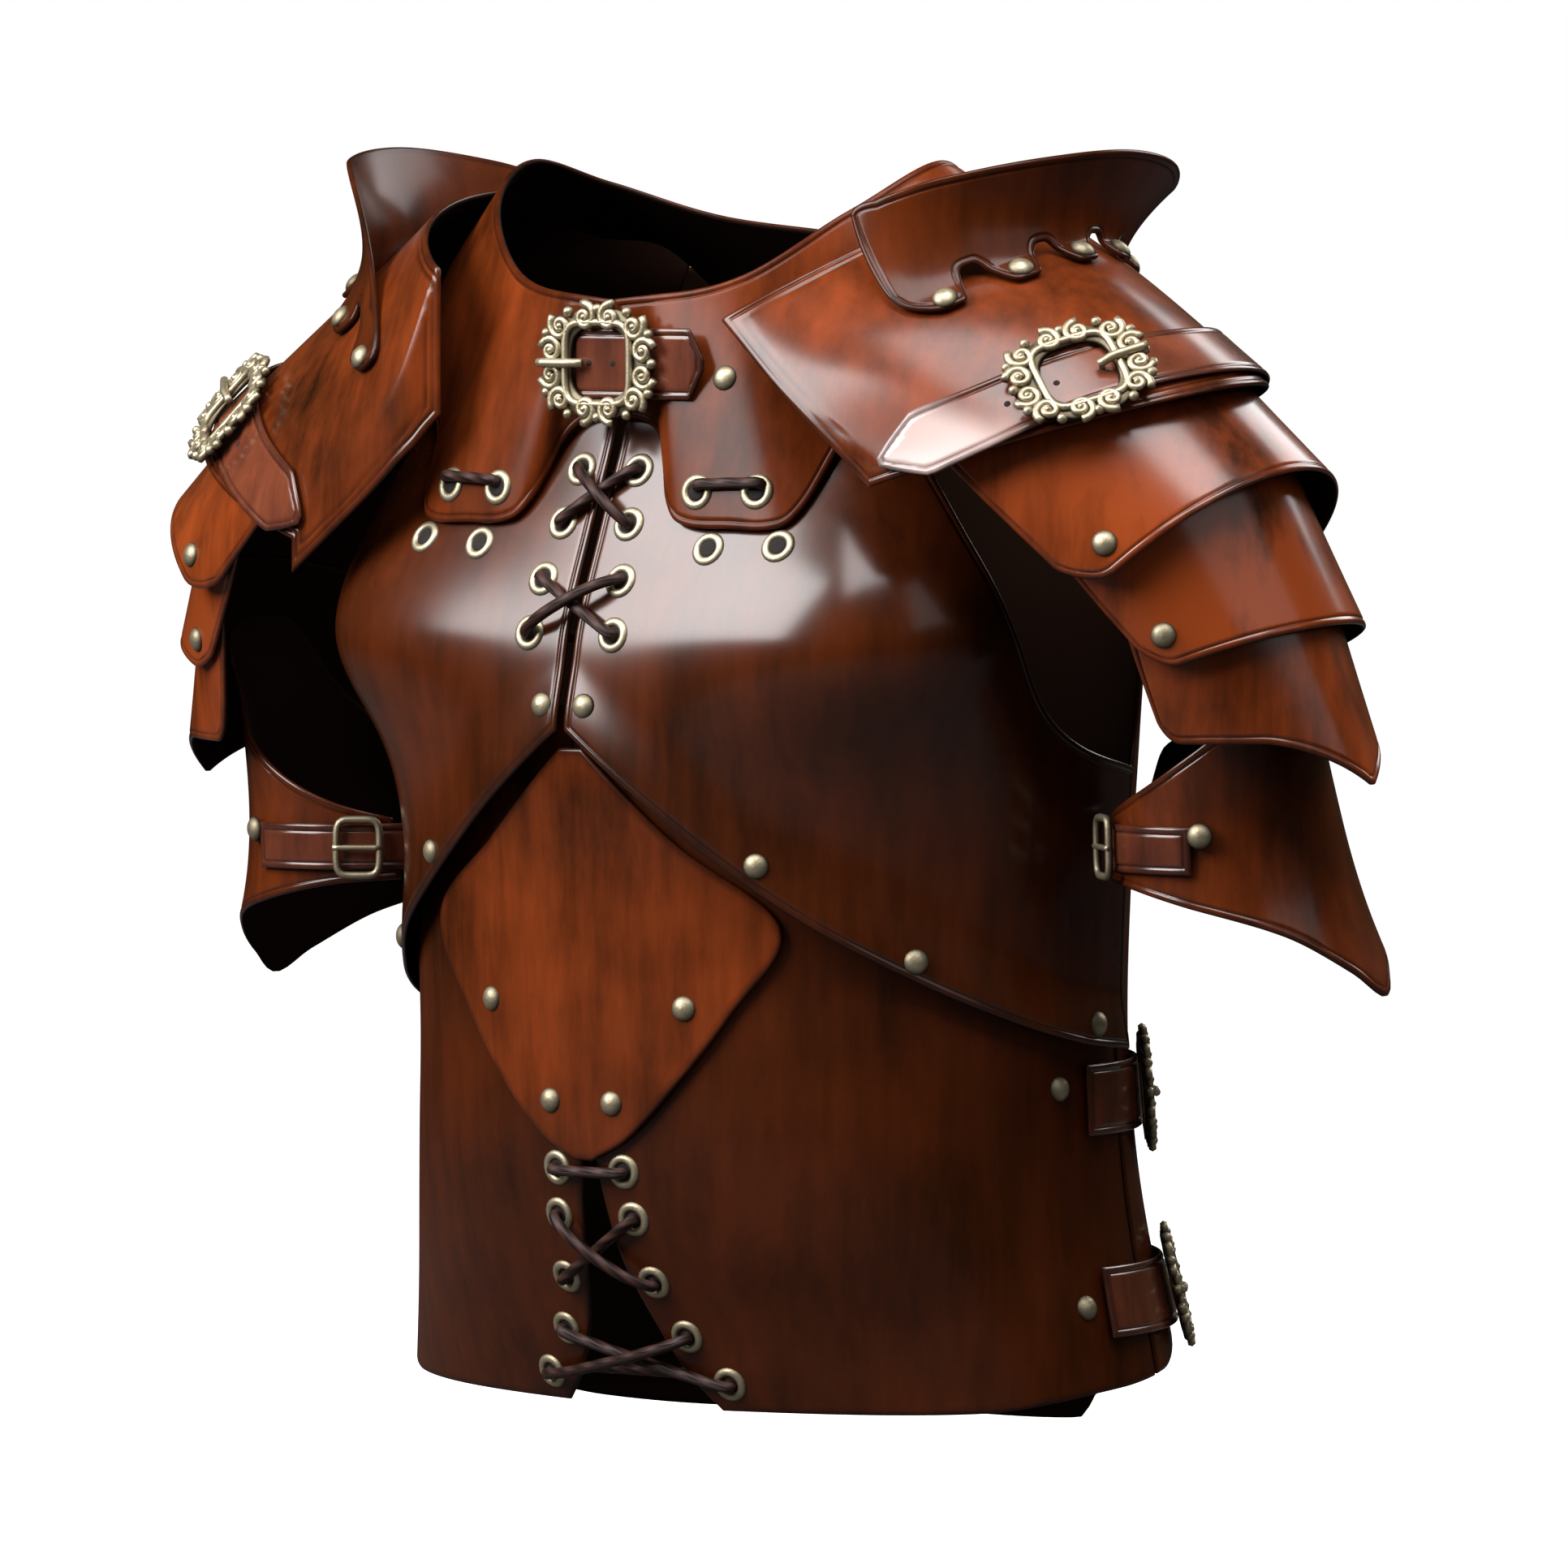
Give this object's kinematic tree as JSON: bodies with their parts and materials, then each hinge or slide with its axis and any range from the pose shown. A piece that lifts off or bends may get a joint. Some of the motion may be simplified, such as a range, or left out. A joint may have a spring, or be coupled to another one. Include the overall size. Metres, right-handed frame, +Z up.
{
  "type": "leather chest armour",
  "caption": "Leather chest armour with laced breast and belly plates, a kite stomacher, a buckled gorget and layered shoulder guards with arm guards.",
  "frame": {"origin": "middle of the seat on the wearer's shoulders, on the body's axis", "axes": "+Z up, the front faces -Y, the wearer's left is +X"},
  "size_m": [0.5718, 0.2769, 0.4988],
  "materials": {
    "leather": "glossy waxed",
    "strap": "waxed",
    "lace": "satin",
    "brass": "antique"
  },
  "bodies": {
    "root": {"breast_plate_left": "leather", "breast_plate_right": "leather", "belly_plate_left": "leather", "belly_plate_right": "leather", "stomacher": "leather", "back_plate": "leather", "gorget": "leather", "gorget_strap": "strap", "gorget_buckle": "brass", "breast_lace": "lace", "belly_lace": "lace", "tab_lace_left": "lace", "tab_lace_right": "lace", "shoulder_cap_left": "leather", "neck_guard_left": "leather", "arm_guard_left": "leather", "lame_2_left": "leather", "lame_3_left": "leather", "lame_4_left": "leather", "shoulder_strap_left": "strap", "arm_strap_left": "strap", "side_strap_upper_left": "strap", "side_strap_lower_left": "strap", "shoulder_buckle_left": "brass", "arm_buckle_left": "brass", "side_buckle_upper_left": "brass", "side_buckle_lower_left": "brass", "shoulder_cap_right": "leather", "neck_guard_right": "leather", "arm_guard_right": "leather", "lame_2_right": "leather", "lame_3_right": "leather", "lame_4_right": "leather", "shoulder_strap_right": "strap", "arm_strap_right": "strap", "side_strap_upper_right": "strap", "side_strap_lower_right": "strap", "shoulder_buckle_right": "brass", "arm_buckle_right": "brass", "side_buckle_upper_right": "brass", "side_buckle_lower_right": "brass"}
  },
  "joints": []
}
